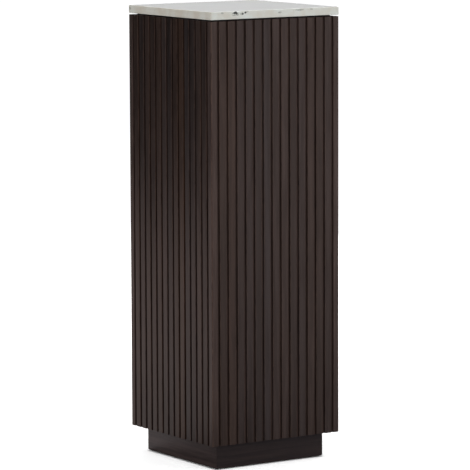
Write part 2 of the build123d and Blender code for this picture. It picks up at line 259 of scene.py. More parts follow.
RAW_DECK = (0.38, 0.26, 0.15)
raw_board, tree, shader = new_finish("raw_board", RAW_ROUGHNESS)
where = add(tree, "TexCoord").outputs["Object"]
raw_colour, raw_relief = fibreboard(tree, where, RAW_DECK)
wire(tree, shader, Base_Color=raw_colour, Normal=raw_relief)
dress(raw_board, "top_deck", "bottom_deck", "mid_diaphragm")

# Corner battens and base blocks. Planed softwood, sawn from the same square stock, glued
# and screwed into the corners. Its growth rings run up the stick.

SPRING_WOOD = (0.68, 0.49, 0.28)
SUMMER_WOOD = (0.45, 0.27, 0.12)
RING_SHARE = 0.65
SAWN_RELIEF = 0.00008
softwood, tree, shader = new_finish("softwood", 0.6)
where = add(tree, "TexCoord").outputs["Object"]
drift = noise(tree, stretched(tree, where, across=30, along=2), scale=1.0, detail=2.0)
rings = add(tree, "TexWave", {
    "Vector": stretched(tree, where, across=1.0, along=0.05), "Scale": 60.0, "Distortion": 5.0,
    "Detail": 2.0, "Detail Scale": 1.4, "Phase Offset": drift,
}, wave_type="RINGS", rings_direction="Z").outputs["Fac"]
fibre = noise(tree, stretched(tree, where, across=1.0, along=0.03), scale=1900, detail=3.0)
figure = maths(tree, "MULTIPLY", fibre, 1 - RING_SHARE)
figure = maths(tree, "MULTIPLY_ADD", rings, RING_SHARE, figure)
wire(
    tree, shader,
    Base_Color=blend_colours(tree, figure, SPRING_WOOD, SUMMER_WOOD),
    Roughness=between(tree, fibre, low=0.52, high=0.72),
    Normal=bump(tree, fibre, depth=SAWN_RELIEF),
)
for corner in CORNER_TURNS:
    dress(softwood, "corner_batten_" + corner, "base_block_" + corner)

# Slats. Thirteen solid strips a side, planed square, with their two outer edges rounded
# over. They are glued to the panels with an even gap, then stained dark and lacquered.

SLAT_WIDTH = 0.015
SLATS_A_SIDE = 13
SLAT_ARRIS = 0.0008
SLAT_END_EASE = 0.0004
ARRIS_STEPS = 4
RING_SPACING = 0.075
PLANING = 0.00008
SHARP_ANGLE = math.radians(38)
GRAIN_SPREAD = 40.0
slat_shop = random.Random(1305)


def arc(centre, radius, start, sweep, steps):
    """Points of a rounded edge: (x, y, how far round the edge, 0 at its ends and 1 between)."""
    points = []
    for i in range(steps + 1):
        turn = math.radians(start + sweep * i / steps)
        x = centre[0] + radius * math.cos(turn)
        y = centre[1] + radius * math.sin(turn)
        points.append((x, y, math.sin(math.pi * i / steps)))
    return points


def new_shell():
    """An empty skin. Each of its points has a grain place, a tone and an arris."""
    return {"points": [], "faces": [], "grain": [], "tone": [], "arris": []}


def add_loft(shell, rings, tone):
    """Skins the rings of (place, grain place, arris) in order, and closes both ends."""
    first = len(shell["points"])
    count = len(rings[0])
    for ring in rings:
        for place, grain, arris in ring:
            shell["points"].append(place)
            shell["grain"].append(grain)
            shell["arris"].append(arris)
            shell["tone"].append(tone)
    for level in range(len(rings) - 1):
        low = first + level * count
        for i in range(count):
            after = (i + 1) % count
            shell["faces"].append((low + i, low + after, low + count + after, low + count + i))
    last = first + (len(rings) - 1) * count
    shell["faces"].append(tuple(range(first + count - 1, first - 1, -1)))
    shell["faces"].append(tuple(range(last, last + count)))


def make_piece(name, shell, finish, body, slot, *nodes):
    """The finished shell as one piece that rides on its body, in place of its nodes."""
    mesh = bpy.data.meshes.new(name)
    mesh.from_pydata(shell["points"], [], shell["faces"])
    mesh.polygons.foreach_set("use_smooth", [True] * len(mesh.polygons))
    mesh.set_sharp_from_angle(angle=SHARP_ANGLE)
    grain = mesh.attributes.new("grain", "FLOAT_VECTOR", "POINT")
    grain.data.foreach_set("vector", [c for place in shell["grain"] for c in place])
    tone = mesh.attributes.new("tone", "FLOAT_VECTOR", "POINT")
    tone.data.foreach_set("vector", [c for shade in shell["tone"] for c in shade])
    mesh.attributes.new("arris", "FLOAT", "POINT").data.foreach_set("value", shell["arris"])
    mesh.materials.append(finish)
    piece = bpy.data.objects.new(name, mesh)
    bpy.context.scene.collection.objects.link(piece)
    normals = piece.modifiers.new("even_shading", "WEIGHTED_NORMAL")
    normals.keep_sharp = True
    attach(piece, body)
    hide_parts(*nodes)


def grain_shift(shop):
    """A far-off place in the grain, so that no two sticks share their figure."""
    return Vector([shop.uniform(0, GRAIN_SPREAD) for _ in range(3)])


def turned(angle, x, y, z):
    """A place carried round the column's upright axis."""
    return Matrix.Rotation(math.radians(angle), 3, "Z") @ Vector((x, y, z))


def ring_levels(low, high, ease, spacing):
    """Levels of a long piece's rings, with how far each is drawn in at the eased ends."""
    count = max(1, round((high - low - 2 * ease) / spacing))
    middle = [(low + ease + (high - low - 2 * ease) * i / count, 0.0) for i in range(count + 1)]
    return [(low, ease)] + middle + [(high, ease)]


def stained_timber(name, sheen):
    """The stained timber, for pieces that carry their own grain, tone, and edges that are rubbed
    and carry a painted highlight.
    """
    finish, tree, shader = new_finish(name, 0.45, Specular_Tint=sheen)
    grain = add(tree, "Attribute", attribute_name="grain").outputs["Vector"]
    tone = add(tree, "Attribute", attribute_name="tone").outputs["Color"]
    arris = add(tree, "Attribute", attribute_name="arris").outputs["Fac"]
    colour, rough, relief = stained_grain(tree, grain, tone, arris)
    wire(tree, shader, Base_Color=colour, Roughness=rough, Normal=relief)
    return finish


stained_walnut = stained_timber("stained_walnut", STAIN_SHEEN)


def stock_tone(shop, depth, spread, cast):
    """How one stick took the stain: its depth, and how far it leans to red or to blue.
    For the base boards the depth also holds painted light and shade, and for the posts in part a
    painted highlight.
    """
    depth = shop.gauss(depth, spread)
    lean = shop.gauss(0.0, cast)
    return (depth * (1 + lean), depth, depth * (1 - lean))


def slat_rings(centre, back, face, low, high, angle):
    """Rings of one slat that stands upright on the panel behind it."""
    half = SLAT_WIDTH / 2
    outline = [(-half, back, 0.0)]
    outline += arc((-half + SLAT_ARRIS, face - SLAT_ARRIS), SLAT_ARRIS, 180, -90, ARRIS_STEPS)
    outline += arc((half - SLAT_ARRIS, face - SLAT_ARRIS), SLAT_ARRIS, 90, -90, ARRIS_STEPS)
    outline += [(half, back, 0.0)]
    shift = grain_shift(slat_shop)
    rings = []
    for level, ease in ring_levels(low, high, SLAT_END_EASE, RING_SPACING):
        planed = slat_shop.uniform(0.0, PLANING)
        ring = []
        for across, out, arris in outline:
            x = across * (1 - ease / half)
            y = out if out == back else out - ease - planed
            place = turned(angle, centre + x, -y, level)
            # The edge and end mask carries both rubbing and a painted highlight.
            wear_and_highlight = max(arris, min(1.0, ease / SLAT_END_EASE))
            ring.append((place, shift + Vector((across, out, level)), wear_and_highlight))
        rings.append(ring)
    return rings


slats_low, slats_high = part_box("slats_front")
slat_face = -slats_low.y
slat_back = -slats_high.y
slat_pitch = (slats_high.x - slats_low.x - SLAT_WIDTH) / (SLATS_A_SIDE - 1)
for side, angle in SIDE_TURNS.items():
    shell = new_shell()
    for i in range(SLATS_A_SIDE):
        centre = (i - (SLATS_A_SIDE - 1) / 2) * slat_pitch
        rings = slat_rings(centre, slat_back, slat_face, slats_low.z, slats_high.z, angle)
        add_loft(shell, rings, stock_tone(slat_shop, depth=0.84, spread=0.10, cast=0.09))
    make_piece(side + "_slats", shell, stained_walnut, "carcass", "stained_walnut", "slats_" + side)

# Corner posts. One solid post a corner, rebated to lap over both panels, so that the
# corner shows no joint. Its outer edge is rounded over well, for hands and knocks.

POST_ARRIS = 0.002
POST_ARRIS_STEPS = 8
# How strongly the post's rounded edges show rubbing and their painted highlight.
POST_WEAR_AND_HIGHLIGHT = 0.8
post_shop = random.Random(4)
post_low, post_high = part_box("corner_post_front_left")
post_face = post_high.x - post_low.x
leg = slat_face - slat_back


def post_outline():
    """Section of a post, from its outer corner inwards: (x, y, arris)."""
    end = SLAT_ARRIS
    outline = [(leg, leg, 0.0), (leg, post_face, 0.0)]
    outline += arc((end, post_face - end), end, 90, 90, ARRIS_STEPS)
    outline += arc((POST_ARRIS, POST_ARRIS), POST_ARRIS, 180, 90, POST_ARRIS_STEPS)
    outline += arc((post_face - end, end), end, 270, 90, ARRIS_STEPS)
    outline += [(post_face, leg, 0.0)]
    return outline


for corner, angle in CORNER_TURNS.items():
    shell = new_shell()
    shift = grain_shift(post_shop)
    rings = []
    for level, ease in ring_levels(post_low.z, post_high.z, SLAT_END_EASE, RING_SPACING):
        ring = []
        for x, y, arris in post_outline():
            inward = Vector((leg - x, leg - y))
            inward = inward.normalized() * ease if inward.length > ease else Vector((0, 0))
            place = turned(angle, post_low.x + x + inward.x, post_low.y + y + inward.y, level)
            wear_and_highlight = max(POST_WEAR_AND_HIGHLIGHT * arris, ease / SLAT_END_EASE)
            ring.append((place, shift + Vector((x, y, level)), wear_and_highlight))
        rings.append(ring)
    # The posts are stained about twice as light as the slats: partly a lighter stick, partly a
    # painted highlight on the rounded corner.
    add_loft(shell, rings, stock_tone(post_shop, depth=1.6, spread=0.05, cast=0.03))
    make_piece(
        "post_" + corner, shell, stained_walnut, "carcass", "stained_walnut",
        "corner_post_" + corner,
    )

# Base boards. Four boards of the same stained timber, with the grain running level,
# mitred at the corners and set back under the column. Their outer edges are eased.

BASE_ARRIS = 0.001
MITRE_EASE = 0.00025
BOARD_STATIONS = 9
# How strongly the boards' eased edges show rubbing and their painted highlight.
BOARD_WEAR_AND_HIGHLIGHT = 0.7
BASE_SHEEN = (0.90, 0.75, 0.80, 1)
# The boards' tones are painted light and shade by side: the left board is set about three times as
# light as the front one, with the right and back between.
BASE_LIT_AND_SHADED_TONES = {"front": 0.56, "right": 0.75, "back": 0.75, "left": 1.7}
base_stain = stained_timber("stained_walnut_base", BASE_SHEEN)
base_shop = random.Random(50)
board_low, board_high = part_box("base_board_front")
board_face = -board_low.y
board_back = -board_high.y
board_section = [(board_back, board_low.z, 0.0), (board_back, board_high.z, 0.0)]
board_section += [
    (out, level, arris)
    for level, out, arris in arc(
        (board_high.z - BASE_ARRIS, board_face - BASE_ARRIS), BASE_ARRIS, 0, 90, ARRIS_STEPS
    )
]
board_section += [
    (out, level, arris)
    for level, out, arris in arc(
        (board_low.z + BASE_ARRIS, board_face - BASE_ARRIS), BASE_ARRIS, 90, 90, ARRIS_STEPS
    )
]
for side, angle in SIDE_TURNS.items():
    shell = new_shell()
    shift = grain_shift(base_shop)
    tone = stock_tone(base_shop, depth=BASE_LIT_AND_SHADED_TONES[side], spread=0.02, cast=0.02)
    rings = []
    for station in range(BOARD_STATIONS + 1):
        share = -1 + 2 * station / BOARD_STATIONS
        ease = MITRE_EASE if abs(share) == 1 else 0.0
        ring = []
        for out, level, arris in board_section:
            eased = out if out == board_back else out - ease
            x = share * eased
            place = turned(angle, x, -eased, level)
            ring.append((place, shift + Vector((out, level, x)), BOARD_WEAR_AND_HIGHLIGHT * arris))
        rings.append(ring)
    add_loft(shell, rings, tone)
    make_piece(
        "base_" + side, shell, base_stain, "carcass", "stained_walnut",
        "base_board_" + side,
    )

# Spacer. A thin board, sprayed matt black, that sits back from the edge and makes the
# shadow gap under the stone. Five round windows in it hold the adhesive.

SPRAY_DARKER = (0.008, 0.0075, 0.0075)
SPRAY_LIGHTER = (0.016, 0.0145, 0.014)
SPRAY_RELIEF = 0.00004
black_board, tree, shader = new_finish("black_board", 0.75)
where = add(tree, "TexCoord").outputs["Object"]
spray = noise(tree, where, scale=1500, detail=3.0)
wire(
    tree, shader,
    Base_Color=blend_colours(tree, spray, SPRAY_DARKER, SPRAY_LIGHTER),
    Roughness=between(tree, spray, low=0.66, high=0.84),
    Normal=bump(tree, spray, depth=SPRAY_RELIEF),
)
dress(black_board, "shadow_gap_spacer")

# Adhesive. Five dabs of neutral silicone bond the stone to the top deck. They cure to a
# cloudy, slightly soft grey.

CLOUDY_GREY = (0.56, 0.56, 0.54)
CLEAR_GREY = (0.70, 0.70, 0.67)
SKIN_RELIEF = 0.0002
silicone, tree, shader = new_finish("adhesive", 0.35, Subsurface_Weight=0.15)
where = add(tree, "TexCoord").outputs["Object"]
cloudy = noise(tree, where, scale=160, detail=3.0)
wire(
    tree, shader,
    Base_Color=blend_colours(tree, cloudy, CLOUDY_GREY, CLEAR_GREY),
    Roughness=between(tree, cloudy, low=0.28, high=0.42),
    Normal=bump(tree, cloudy, depth=SKIN_RELIEF),
)
dress(silicone, "adhesive_dabs")

# Stone top. One sawn slab of pale stone, honed on every face, with its edges eased by
# hand. Dark mineral gathers in its front edge, near the front left corner.

STONE_ARRIS = 0.001
STONE_ARRIS_STEPS = 3
STONE_POINT_SPACING = 0.004
CHIP_DEPTH = 0.0005
CHIP_MEAN = -0.25
CHIP_SPREAD = 0.3
stone_shop = random.Random(16)
stone_low, stone_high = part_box("stone_top")
stone_half = stone_high.x


def slab_outline(half, corner_radius):
    """Square outline with small round corners, its points close enough to chip."""
    straight = half - corner_radius
    steps = round(2 * straight / STONE_POINT_SPACING)
    outline = []
    for angle in SIDE_TURNS.values():
        for i in range(steps + 1):
            outline.append(turned(angle, -straight + 2 * straight * i / steps, -half, 0))
        for i in range(1, STONE_ARRIS_STEPS):
            turn = math.radians(-90 + 90 * i / STONE_ARRIS_STEPS)
            x = straight + corner_radius * math.cos(turn)
            y = -straight + corner_radius * math.sin(turn)
            outline.append(turned(angle, x, y, 0))
    return outline


def slab_levels():
    """Levels of the slab's rings from its underside to its top: (level, set in, arris)."""
    levels = []
    for centre, start in ((stone_low.z + STONE_ARRIS, -90), (stone_high.z - STONE_ARRIS, 0)):
        for i in range(STONE_ARRIS_STEPS + 1):
            turn = math.radians(start + 90 * i / STONE_ARRIS_STEPS)
            set_in = STONE_ARRIS * (1 - math.cos(turn))
            arris = math.sin(math.pi * i / STONE_ARRIS_STEPS)
            levels.append((centre + STONE_ARRIS * math.sin(turn), set_in, arris))
    return levels


slab_edge = slab_outline(stone_half, STONE_ARRIS)
chips = [max(0.0, stone_shop.gauss(CHIP_MEAN, CHIP_SPREAD)) for _ in slab_edge]
rings = []
for level, set_in, arris in slab_levels():
    ring = []
    for point, chip in zip(slab_edge, chips):
        drawn_in = set_in + arris * min(1.0, chip) * CHIP_DEPTH
        scale = 1 - drawn_in / stone_half
        place = Vector((point.x * scale, point.y * scale, level))
        ring.append((place, place.copy(), arris))
    rings.append(ring)
shell = new_shell()
add_loft(shell, rings, (1.0, 1.0, 1.0))

STONE_COOL = (0.585, 0.590, 0.596)
STONE_WARM = (0.620, 0.618, 0.606)
STONE_VEIN = (0.42, 0.43, 0.43)
STONE_SPECK = (0.16, 0.16, 0.15)
BED_WARM = (0.60, 0.562, 0.492)
BED_COOL = (0.66, 0.668, 0.622)
# The edges other than the left take a lighter, cooler cast, and the left edge a darker, warmer one:
# painted light and shade by side.
BED_CAST_PAINTED_LIT = (1.05, 1.09, 1.11)
BED_CAST_PAINTED_SHADED_LEFT = (0.99, 0.97, 0.95)
MINERAL_DARK = (0.030, 0.032, 0.030)
MINERAL_GREY = (0.24, 0.25, 0.22)
# The bruised arris colour is partly real bruising and partly a painted highlight along the eased
# edges.
BRUISED_AND_HIGHLIT_ARRIS = (0.78, 0.78, 0.75)
VEIN_HALF_WIDTH = 0.006
VEIN_STRENGTH = 0.12
SPECK_STRENGTH = 0.4
GREY_STRENGTH = 0.7
BRUISE_AND_HIGHLIGHT_STRENGTH = 0.5
CRYSTAL_RELIEF = 0.00003
SPECK_RELIEF = 0.00008
honed_stone, tree, shader = new_finish("honed_marble", 0.4)
where = add(tree, "TexCoord").outputs["Object"]
place = add(tree, "SeparateXYZ", {"Vector": where})
arris = add(tree, "Attribute", attribute_name="arris").outputs["Fac"]
drift = noise(tree, where, scale=9, detail=4.0, roughness=0.5, distortion=0.8)
crystals = noise(tree, where, scale=900, detail=3.0)
vein_field = noise(tree, where, scale=14, detail=6.0, roughness=0.62, distortion=2.2)
vein = maths(tree, "ABSOLUTE", maths(tree, "SUBTRACT", vein_field, 0.5))
past_vein = step_at(tree, vein, edge=VEIN_HALF_WIDTH, soft=VEIN_HALF_WIDTH)
thin_vein = maths(tree, "SUBTRACT", 1.0, past_vein)
face = blend_colours(tree, drift, STONE_COOL, STONE_WARM)
thin_vein = maths(tree, "MULTIPLY", thin_vein, VEIN_STRENGTH)
face = blend_colours(tree, thin_vein, face, STONE_VEIN)
edge_cloud = step_at(tree, noise(tree, where, scale=38, detail=4.0), edge=0.5, soft=0.2)
edge = blend_colours(tree, edge_cloud, BED_WARM, BED_COOL)
# Painted light and shade by side: the left edge is cast darker and warmer than the other three.
past_left = step_at(tree, place.outputs["X"], edge=STONE_ARRIS - stone_half, soft=STONE_ARRIS)
on_left = maths(tree, "SUBTRACT", 1.0, past_left)
painted_side_cast = blend_colours(tree, on_left, BED_CAST_PAINTED_LIT, BED_CAST_PAINTED_SHADED_LEFT)
edge = blend_colours(tree, 1.0, edge, painted_side_cast, "MULTIPLY")
outwards = maths(
    tree, "MAXIMUM",
    maths(tree, "ABSOLUTE", place.outputs["X"]), maths(tree, "ABSOLUTE", place.outputs["Y"]),
)
on_edge = step_at(tree, outwards, edge=stone_half - STONE_ARRIS, soft=0.4 * STONE_ARRIS)
colour = blend_colours(tree, on_edge, face, edge)
speck_field = noise(tree, where, scale=330, detail=4.0, roughness=0.65)
specks = step_at(tree, speck_field, edge=0.69, soft=0.03)
speck_share = maths(tree, "MULTIPLY", specks, SPECK_STRENGTH)
colour = blend_colours(tree, speck_share, colour, STONE_SPECK)

RAGGEDNESS = 1.8
PATCH_EDGE = 1.75
PATCH_SOFT = 0.12
DARK_REACH_IN = 0.004
GREY_REACH_IN = 0.003


def patches(tree, where, places):
    """1 inside the given patches and 0 away from them. Each has a middle and a reach."""
    covered = 0.0
    for middle, reach in places:
        offset = add(tree, "VectorMath", {0: where, 1: middle}, operation="SUBTRACT").outputs[0]
        scale = tuple(1 / r for r in reach)
        share = add(tree, "VectorMath", {0: offset, 1: scale}, operation="MULTIPLY").outputs[0]
        out = add(tree, "VectorMath", {0: share}, operation="LENGTH").outputs["Value"]
        lumps = noise(tree, where, scale=260, detail=3.0)
        ragged = maths(tree, "MULTIPLY_ADD", lumps, RAGGEDNESS, out)
        past = step_at(tree, ragged, edge=PATCH_EDGE, soft=PATCH_SOFT)
        covered = maths(tree, "MAXIMUM", maths(tree, "SUBTRACT", 1.0, past), covered)
    return covered


def in_front_edge(along, down, reach_along, reach_up, reach_in):
    """A patch placed from the front left corner along the front edge, and down from the top."""
    middle = (along - stone_half, -stone_half, stone_high.z - down)
    return middle, (reach_along, reach_in, reach_up)


def in_left_edge(along, down, reach_along, reach_up, reach_in):
    """A patch placed from the back left corner along the left edge, and down from the top."""
    middle = (-stone_half, stone_half - along, stone_high.z - down)
    return middle, (reach_in, reach_along, reach_up)


# Each is given by how far along and down it lies, and its reach along, up and in.
dark_mineral = [
    in_front_edge(0.0580, 0.0036, 0.0050, 0.0036, DARK_REACH_IN),
    in_front_edge(0.0810, 0.0036, 0.0036, 0.0022, DARK_REACH_IN),
    in_front_edge(0.0745, 0.0060, 0.0036, 0.0018, DARK_REACH_IN),
]
grey_mineral = [
    in_front_edge(0.0525, 0.0048, 0.0050, 0.0014, GREY_REACH_IN),
    in_front_edge(0.0555, 0.0080, 0.0050, 0.0016, GREY_REACH_IN),
    in_front_edge(0.0625, 0.0062, 0.0040, 0.0030, GREY_REACH_IN),
    in_front_edge(0.0725, 0.0058, 0.0080, 0.0022, GREY_REACH_IN),
    in_front_edge(0.0855, 0.0018, 0.0040, 0.0014, GREY_REACH_IN),
    in_front_edge(0.0265, 0.0035, 0.0040, 0.0022, GREY_REACH_IN),
    in_front_edge(0.1625, 0.0065, 0.0045, 0.0022, GREY_REACH_IN),
    in_front_edge(0.2105, 0.0030, 0.0120, 0.0022, GREY_REACH_IN),
    in_front_edge(0.2385, 0.0025, 0.0050, 0.0016, GREY_REACH_IN),
    in_left_edge(0.0045, 0.0065, 0.0045, 0.0036, GREY_REACH_IN),
]
crumb_field = noise(tree, where, scale=420, detail=5.0, roughness=0.7)
crumbs = step_at(tree, crumb_field, edge=0.44, soft=0.05)
dark = patches(tree, where, dark_mineral)
grey = maths(tree, "MULTIPLY", patches(tree, where, grey_mineral), crumbs)
grey = maths(tree, "MULTIPLY", grey, GREY_STRENGTH)
colour = blend_colours(tree, grey, colour, MINERAL_GREY)
colour = blend_colours(tree, dark, colour, MINERAL_DARK)
# Lighter eased edges: partly bruising, partly a painted highlight.
bruise_and_highlight = maths(tree, "MULTIPLY", arris, BRUISE_AND_HIGHLIGHT_STRENGTH)
colour = blend_colours(tree, bruise_and_highlight, colour, BRUISED_AND_HIGHLIT_ARRIS)
wire(
    tree, shader,
    Base_Color=colour,
    Roughness=between(tree, crystals, low=0.34, high=0.50),
    Normal=bump(
        tree, crystals, depth=CRYSTAL_RELIEF, under=bump(tree, specks, depth=SPECK_RELIEF)
    ),
)
make_piece("stone_slab", shell, honed_stone, "carcass", "honed_marble", "stone_top")

# Wood screws and threaded inserts. Zinc-plated steel, with the faint straw and blue
# cast of the plating. The screws pull the boards together and stay in for good.

ZINC_BLUE = (0.62, 0.63, 0.66)
ZINC_STRAW = (0.68, 0.64, 0.55)
SCRATCH_RELIEF = 0.00002
zinc_steel, tree, shader = new_finish("zinc_steel", 0.35, Metallic=1.0)
where = add(tree, "TexCoord").outputs["Object"]
plating = noise(tree, where, scale=90, detail=3.0)
scratches = noise(tree, stretched(tree, where, across=1.0, along=0.08), scale=2400, detail=2.0)
wire(
    tree, shader,
    Base_Color=blend_colours(tree, plating, ZINC_BLUE, ZINC_STRAW),
    Roughness=between(tree, scratches, low=0.26, high=0.44),
    Normal=bump(tree, scratches, depth=SCRATCH_RELIEF),
)
dress(
    zinc_steel,
    "spacer_screws", "deck_screws", "batten_screws", "block_screws", "board_screws",
    "leveler_inserts",
)

# Foot screws. A rolled M8 thread of 1.25 mm pitch above a hexagon for a spanner, with a
# turned pin below that snaps into the pad and turns there.

THREAD_PITCH = 0.00125
THREAD_DEPTH = 0.00068
THREAD_SEGMENTS = 24
ROWS_A_PITCH = 5
HEX_CHAMFER = 0.0006
HEX_HEIGHT = 0.0037
PIN_RADIUS = 0.003
THREAD_RADIUS = 0.004
THREAD_LEAD_IN = 0.001
THREAD_FORM = 0.8
RUN_OUT_DEPTH = 0.35


def round_ring(centre, radius, level, segments):
    """Ring about an upright axis. The radius is a number, or a rule of the turn."""
    ring = []
    for i in range(segments):
        turn = 2 * math.pi * i / segments
        out = radius(turn) if callable(radius) else radius
        place = Vector((centre.x + out * math.cos(turn), centre.y + out * math.sin(turn), level))
        ring.append((place, place.copy(), 0.0))
    return ring


def thread_radius(level, low, high):
    """Radius of the thread at a level, as a rule of the turn, fading out at both ends."""
    fade = min(1.0, (level - low) / THREAD_LEAD_IN, (high - level) / THREAD_LEAD_IN)

    def rule(turn):
        phase = (level / THREAD_PITCH - turn / (2 * math.pi)) % 1.0
        groove = abs(2 * phase - 1) ** THREAD_FORM
        cut = RUN_OUT_DEPTH + (1 - RUN_OUT_DEPTH) * max(0.0, fade)
        return THREAD_RADIUS - THREAD_DEPTH * groove * cut

    return rule


def hex_ring(centre, across_flats, level, turned_by):
    """Ring of a hexagon, drawn with the thread's number of segments."""
    def rule(turn):
        sector = (turn + turned_by) % (math.pi / 3) - math.pi / 6
        return across_flats / 2 / math.cos(sector)

    return round_ring(centre, rule, level, THREAD_SEGMENTS)


for corner in CORNER_TURNS:
    stem_low, stem_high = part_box("leveler_stem_" + corner)
    pad_low, pad_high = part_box("leveler_pad_" + corner)
    centre = (pad_low + pad_high) / 2
    hex_low = pad_high.z
    hex_high = hex_low + HEX_HEIGHT
    stem_x = stem_high.x - stem_low.x
    stem_y = stem_high.y - stem_low.y
    flats = min(stem_x, stem_y)
    turned_by = 0.0 if stem_x > stem_y else math.pi / 6
    shell = new_shell()
    rings = [
        round_ring(centre, PIN_RADIUS, stem_low.z, THREAD_SEGMENTS),
        round_ring(centre, PIN_RADIUS, hex_low, THREAD_SEGMENTS),
        round_ring(centre, flats / 2 - HEX_CHAMFER, hex_low, THREAD_SEGMENTS),
        hex_ring(centre, flats, hex_low + HEX_CHAMFER, turned_by),
        hex_ring(centre, flats, hex_high - HEX_CHAMFER, turned_by),
        round_ring(centre, flats / 2 - HEX_CHAMFER, hex_high, THREAD_SEGMENTS),
    ]
    rows = round((stem_high.z - hex_high) / THREAD_PITCH * ROWS_A_PITCH)
    for row in range(rows + 1):
        level = hex_high + (stem_high.z - hex_high) * row / rows
        rule = thread_radius(level, hex_high, stem_high.z)
        rings.append(round_ring(centre, rule, level, THREAD_SEGMENTS))
    add_loft(shell, rings, (1.0, 1.0, 1.0))
    make_piece(
        "screw_" + corner, shell, zinc_steel, "foot_screw_" + corner, "zinc_steel",
        "leveler_stem_" + corner,
    )

# Foot pads and soles. The pad is a moulded nylon disc with a fine spark-eroded texture.
# The sole is a rubber disc pressed into its underside, and is all that meets the floor.

NYLON_CLEAN = (0.018, 0.018, 0.019)
NYLON_SCUFFED = (0.036, 0.036, 0.036)
RUBBER_CLEAN = (0.030, 0.029, 0.028)
RUBBER_BLOOM = (0.062, 0.060, 0.058)
SPARK_RELIEF = 0.00004
RUBBER_RELIEF = 0.00005
black_nylon, tree, shader = new_finish("black_nylon", 0.55)
where = add(tree, "TexCoord").outputs["Object"]
mould = noise(tree, where, scale=4200, detail=2.0)
scuff = noise(tree, where, scale=130, detail=4.0)
wire(
    tree, shader,
    Base_Color=blend_colours(tree, scuff, NYLON_CLEAN, NYLON_SCUFFED),
    Roughness=between(tree, scuff, low=0.46, high=0.66),
    Normal=bump(tree, mould, depth=SPARK_RELIEF),
)
sole_rubber, tree, shader = new_finish("sole_rubber", 0.85)
where = add(tree, "TexCoord").outputs["Object"]
bloom = noise(tree, where, scale=210, detail=4.0)
wire(
    tree, shader,
    Base_Color=blend_colours(tree, bloom, RUBBER_CLEAN, RUBBER_BLOOM),
    Roughness=between(tree, bloom, low=0.75, high=0.95),
    Normal=bump(tree, noise(tree, where, scale=2600, detail=2.0), depth=RUBBER_RELIEF),
)
for corner in CORNER_TURNS:
    dress(black_nylon, "leveler_pad_" + corner)
    dress(sole_rubber, "leveler_sole_" + corner)

# Studio. A plain pale floor that reads as white paper, and soft lamps all round. Some
# lamps only light the piece, and some are only there to be mirrored in its lacquer.

# The paper glows by itself, so that no lamp's pool shows on it. Near the plinth its glow
# is dimmed into a painted shadow that fades outwards, with a painted lighter strip close
# round the base, and no glow just under the base's edge, which is a painted dark line beneath it.
FLOOR_RADIUS = 60.0
FLOOR_POINTS = 64
PAPER_WHITE = (0.9, 0.9, 0.9, 1)
GLOW_WHITE = (1, 1, 1, 1)
PAINTED_SHADOW_GLOW = 0.40
GLOW_RISE = 0.3
GLOW_MOST = 1.05
PAINTED_FOOT_LIGHT = 0.24
PAINTED_FOOT_LIGHT_HALVES_IN = 0.008
PAINTED_SHADOW_UNDER_BASE_EDGE = 0.003
PAINTED_SHADOW_UNDER_BASE_SOFT = 0.002
floor_mesh = bpy.data.meshes.new("studio_floor")
floor_mesh.from_pydata(
    [
        (FLOOR_RADIUS * math.cos(2 * math.pi * i / FLOOR_POINTS),
         FLOOR_RADIUS * math.sin(2 * math.pi * i / FLOOR_POINTS), cad_box[0].z)
        for i in range(FLOOR_POINTS)
    ],
    [], [tuple(range(FLOOR_POINTS))],
)
paper, tree, shader = new_finish("studio_paper", 0.9, Specular_IOR_Level=0.0)
place = add(tree, "SeparateXYZ", {"Vector": add(tree, "TexCoord").outputs["Object"]})
squares = []
for axis in "XY":
    past = maths(tree, "SUBTRACT", maths(tree, "ABSOLUTE", place.outputs[axis]), board_face)
    squares.append(maths(tree, "POWER", maths(tree, "MAXIMUM", past, 0), 2.0))
away = maths(tree, "SQRT", maths(tree, "ADD", *squares))
# The glow is dimmed near the plinth as a painted shadow and rises outwards.
rise = maths(tree, "MULTIPLY_ADD", away, GLOW_RISE, PAINTED_SHADOW_GLOW)
# A painted lighter strip close round the base.
fade = maths(tree, "POWER", 0.5, maths(tree, "DIVIDE", away, PAINTED_FOOT_LIGHT_HALVES_IN))
rise = maths(tree, "MULTIPLY_ADD", fade, PAINTED_FOOT_LIGHT, rise)
# No glow under the base and just past its face: a painted dark line under it.
out_of_painted_shadow = step_at(tree, away, edge=PAINTED_SHADOW_UNDER_BASE_EDGE, soft=PAINTED_SHADOW_UNDER_BASE_SOFT)
glow = maths(tree, "MULTIPLY", maths(tree, "MINIMUM", rise, GLOW_MOST), out_of_painted_shadow)
wire(tree, shader, Emission_Strength=glow)
shader.inputs["Base Color"].default_value = PAPER_WHITE
shader.inputs["Emission Color"].default_value = GLOW_WHITE
floor_mesh.materials.append(paper)
floor = bpy.data.objects.new("studio_floor", floor_mesh)
bpy.context.scene.collection.objects.link(floor)
floor.visible_glossy = False
floor.visible_diffuse = False

SURROUND_COLOUR = (0.9, 0.95, 1.0, 1)
SURROUND_STRENGTH = 0.03
surround = bpy.data.worlds.new("studio_surround")
surround.use_nodes = True
backdrop = surround.node_tree.nodes["Background"]
backdrop.inputs["Color"].default_value = SURROUND_COLOUR
backdrop.inputs["Strength"].default_value = SURROUND_STRENGTH
bpy.context.scene.world = surround


def lamp(name, place, target, size, watts, lights=True, colour=(1, 1, 1)):
    """A soft rectangular lamp. It either lights the piece or is a card mirrored in it."""
    light = bpy.data.lights.new(name, "AREA")
    light.shape = "RECTANGLE"
    light.size, light.size_y = size
    light.energy = watts
    light.color = colour
    stand = bpy.data.objects.new(name, light)
    stand.location = place
    stand.rotation_euler = (Vector(place) - Vector(target)).to_track_quat("Z", "Y").to_euler()
    stand.visible_camera = False
    stand.visible_diffuse = lights
    stand.visible_glossy = not lights
    bpy.context.scene.collection.objects.link(stand)


